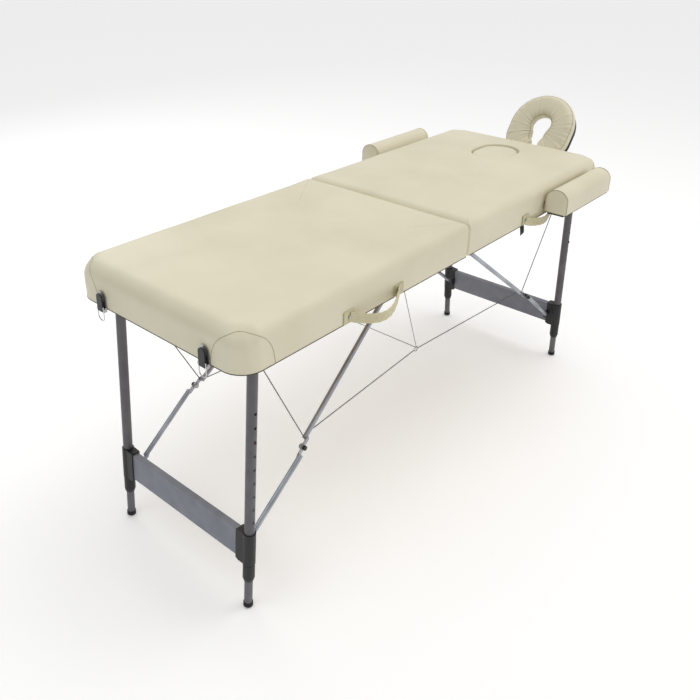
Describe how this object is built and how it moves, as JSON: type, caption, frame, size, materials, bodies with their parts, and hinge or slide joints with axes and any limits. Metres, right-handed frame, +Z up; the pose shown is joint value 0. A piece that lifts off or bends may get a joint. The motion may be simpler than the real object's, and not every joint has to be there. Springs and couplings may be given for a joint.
{
  "type": "portable treatment bed",
  "caption": "Folding treatment bed in cream leather on dark grey height-adjustable legs, with a tilting face rest, sliding armrests, cable bracing and a breathing-hole plug.",
  "frame": {"origin": "centre of the bounding box on the floor", "axes": "+X along the bed towards the face rest, +Y towards the pulled-out armrest, +Z up"},
  "size_m": [2.1086, 0.876, 1.0268],
  "materials": {
    "cream_leather": "soft matt synthetic leather",
    "strap_leather": "synthetic leather strap, stitched",
    "birch_ply": "clear-lacquered plywood and beech rails",
    "leg_paint": "semi-gloss dark grey powder coat",
    "inner_leg_paint": "satin dark grey coating",
    "crossbar_paint": "satin blue-grey coating",
    "black_plastic": "moulded black plastic, satin",
    "black_rubber": "moulded black rubber",
    "brace_alloy": "drawn alloy tube with flattened ends",
    "steel_hardware": "zinc-plated steel",
    "cable_steel": "twisted steel cable",
    "latch_black": "textured black coating",
    "latch_wire": "bright nickel-plated wire",
    "black_webbing": "woven webbing",
    "black_metal": "satin black coating",
    "button_metal": "dark plated steel"
  },
  "bodies": {
    "foot_half": {"foot_board": "birch_ply", "foot_cushion": "cream_leather", "foot_side_rails": "birch_ply", "foot_end_rails": "birch_ply", "foot_brackets": "steel_hardware", "foot_hinge_leaves": "steel_hardware", "foot_handle": "strap_leather", "latch_plates": "latch_black"},
    "hinge_link": {"hinge_links": "steel_hardware", "cable_net": "cable_steel"},
    "head_half": {"head_board": "birch_ply", "head_cushion": "cream_leather", "head_side_rails": "birch_ply", "head_end_rails": "birch_ply", "head_brackets": "steel_hardware", "head_hinge_leaves": "steel_hardware", "head_handle": "strap_leather", "latch_keepers": "steel_hardware", "strap_end": "black_webbing"},
    "near_latch_lever": {"near_latch_lever": "latch_black"},
    "near_latch_loop": {"near_latch_loop": "latch_wire"},
    "far_latch_lever": {"far_latch_lever": "latch_black"},
    "far_latch_loop": {"far_latch_loop": "latch_wire"},
    "foot_leg_frame": {"foot_leg_tubes": "leg_paint", "foot_connectors": "black_plastic", "foot_crossbar": "crossbar_paint", "foot_collars": "black_plastic"},
    "foot_upper_braces": {"foot_upper_braces": "brace_alloy", "foot_cables": "cable_steel"},
    "foot_lower_braces": {"foot_lower_braces": "brace_alloy", "foot_knuckle_nuts": "black_plastic"},
    "foot_near_inner": {"foot_near_inner_leg": "inner_leg_paint", "foot_near_foot_cap": "black_rubber"},
    "foot_near_button": {"foot_near_button": "button_metal"},
    "foot_far_inner": {"foot_far_inner_leg": "inner_leg_paint", "foot_far_foot_cap": "black_rubber"},
    "foot_far_button": {"foot_far_button": "button_metal"},
    "head_leg_frame": {"head_leg_tubes": "leg_paint", "head_connectors": "black_plastic", "head_crossbar": "crossbar_paint", "head_collars": "black_plastic"},
    "head_upper_braces": {"head_upper_braces": "brace_alloy", "head_cables": "cable_steel"},
    "head_lower_braces": {"head_lower_braces": "brace_alloy", "head_knuckle_nuts": "black_plastic"},
    "head_near_inner": {"head_near_inner_leg": "inner_leg_paint", "head_near_foot_cap": "black_rubber"},
    "head_near_button": {"head_near_button": "button_metal"},
    "head_far_inner": {"head_far_inner_leg": "inner_leg_paint", "head_far_foot_cap": "black_rubber"},
    "head_far_button": {"head_far_button": "button_metal"},
    "near_armrest": {"near_armrest_pad": "cream_leather", "near_armrest_frame": "black_metal"},
    "far_armrest": {"far_armrest_pad": "cream_leather", "far_armrest_frame": "black_metal"},
    "breath_plug": {"breath_plug": "cream_leather"},
    "face_rest_rods": {"face_rest_rods": "black_metal"},
    "face_rest": {"face_rest_cradle": "black_plastic", "face_rest_cushion": "cream_leather"},
    "face_rest_lever": {"face_rest_lever": "black_plastic"}
  },
  "joints": [
    {"name": "foot_hinge", "type": "hinge", "parent": "foot_half", "child": "hinge_link", "pos_m": [-0.12531, -0.025, 0.757], "axis": [0, 1, 0], "range_deg": [0, 90]},
    {"name": "head_hinge", "type": "hinge", "parent": "hinge_link", "child": "head_half", "pos_m": [-0.10931, -0.025, 0.757], "axis": [0, 1, 0], "range_deg": [0, 90]},
    {"name": "near_latch_lever_turn", "type": "hinge", "parent": "foot_half", "child": "near_latch_lever", "pos_m": [-1.04881, -0.227, 0.764], "axis": [0, -1, 0], "range_deg": [0, 80]},
    {"name": "near_latch_loop_swing", "type": "hinge", "parent": "near_latch_lever", "child": "near_latch_loop", "pos_m": [-1.05231, -0.227, 0.773], "axis": [0, 1, 0], "range_deg": [0, 100]},
    {"name": "far_latch_lever_turn", "type": "hinge", "parent": "foot_half", "child": "far_latch_lever", "pos_m": [-1.04881, 0.177, 0.764], "axis": [0, -1, 0], "range_deg": [0, 80]},
    {"name": "far_latch_loop_swing", "type": "hinge", "parent": "far_latch_lever", "child": "far_latch_loop", "pos_m": [-1.05231, 0.177, 0.773], "axis": [0, 1, 0], "range_deg": [0, 100]},
    {"name": "foot_leg_fold", "type": "hinge", "parent": "foot_half", "child": "foot_leg_frame", "pos_m": [-0.95031, -0.025, 0.784], "axis": [0, -1, 0], "range_deg": [0, 93.9]},
    {"name": "foot_upper_brace_fold", "type": "hinge", "parent": "foot_half", "child": "foot_upper_braces", "pos_m": [-0.16731, -0.025, 0.808], "axis": [0, 1, 0], "range_deg": [0, 37.39], "deforming": ["foot_cables"]},
    {"name": "foot_lower_brace_fold", "type": "hinge", "parent": "foot_leg_frame", "child": "foot_lower_braces", "pos_m": [-0.9655, -0.025, 0.19367], "axis": [0, -1, 0], "range_deg": [0, 47.94]},
    {"name": "foot_near_height", "type": "slide", "parent": "foot_leg_frame", "child": "foot_near_inner", "axis": [0.068, 0, 0.9977], "range_m": [-0.246, 0]},
    {"name": "foot_near_button_press", "type": "slide", "parent": "foot_near_inner", "child": "foot_near_button", "axis": [0, -1, 0], "range_m": [-0.006, 0], "stiffness_N_per_m": 400},
    {"name": "foot_far_height", "type": "slide", "parent": "foot_leg_frame", "child": "foot_far_inner", "axis": [0.068, 0, 0.9977], "range_m": [-0.246, 0]},
    {"name": "foot_far_button_press", "type": "slide", "parent": "foot_far_inner", "child": "foot_far_button", "axis": [0, 1, 0], "range_m": [-0.006, 0], "stiffness_N_per_m": 400},
    {"name": "head_leg_fold", "type": "hinge", "parent": "head_half", "child": "head_leg_frame", "pos_m": [0.71569, -0.025, 0.784], "axis": [0, 1, 0], "range_deg": [0, 93.9]},
    {"name": "head_upper_brace_fold", "type": "hinge", "parent": "head_half", "child": "head_upper_braces", "pos_m": [-0.06731, -0.025, 0.808], "axis": [0, -1, 0], "range_deg": [0, 37.39], "deforming": ["head_cables"]},
    {"name": "head_lower_brace_fold", "type": "hinge", "parent": "head_leg_frame", "child": "head_lower_braces", "pos_m": [0.73088, -0.025, 0.19367], "axis": [0, 1, 0], "range_deg": [0, 47.94]},
    {"name": "head_near_height", "type": "slide", "parent": "head_leg_frame", "child": "head_near_inner", "axis": [-0.068, 0, 0.9977], "range_m": [-0.246, 0]},
    {"name": "head_near_button_press", "type": "slide", "parent": "head_near_inner", "child": "head_near_button", "axis": [0, -1, 0], "range_m": [-0.006, 0], "stiffness_N_per_m": 400},
    {"name": "head_far_height", "type": "slide", "parent": "head_leg_frame", "child": "head_far_inner", "axis": [-0.068, 0, 0.9977], "range_m": [-0.246, 0]},
    {"name": "head_far_button_press", "type": "slide", "parent": "head_far_inner", "child": "head_far_button", "axis": [0, 1, 0], "range_m": [-0.006, 0], "stiffness_N_per_m": 400},
    {"name": "near_armrest_slide", "type": "slide", "parent": "head_half", "child": "near_armrest", "axis": [0, -1, 0], "range_m": [0, 0.05]},
    {"name": "far_armrest_slide", "type": "slide", "parent": "head_half", "child": "far_armrest", "axis": [0, 1, 0], "range_m": [-0.05, 0]},
    {"name": "breath_plug_lift", "type": "slide", "parent": "head_half", "child": "breath_plug", "axis": [0, 0, 1], "range_m": [0, 0.06]},
    {"name": "face_rest_slide", "type": "slide", "parent": "head_half", "child": "face_rest_rods", "axis": [1, 0, 0], "range_m": [0, 0.05]},
    {"name": "face_rest_tilt", "type": "hinge", "parent": "face_rest_rods", "child": "face_rest", "pos_m": [0.92227, -0.025, 0.78642], "axis": [0, 1, 0], "range_deg": [-5, 53]},
    {"name": "face_rest_lever_turn", "type": "hinge", "parent": "face_rest_rods", "child": "face_rest_lever", "pos_m": [0.92227, -0.025, 0.78642], "axis": [0, 1, 0], "range_deg": [0, 90]}
  ],
  "couplings": [
    {"joint": "foot_upper_brace_fold", "follows": "foot_leg_fold", "ratio": 0.39769},
    {"joint": "foot_lower_brace_fold", "follows": "foot_leg_fold", "ratio": 0.51001},
    {"joint": "head_upper_brace_fold", "follows": "head_leg_fold", "ratio": 0.39769},
    {"joint": "head_lower_brace_fold", "follows": "head_leg_fold", "ratio": 0.51001}
  ]
}
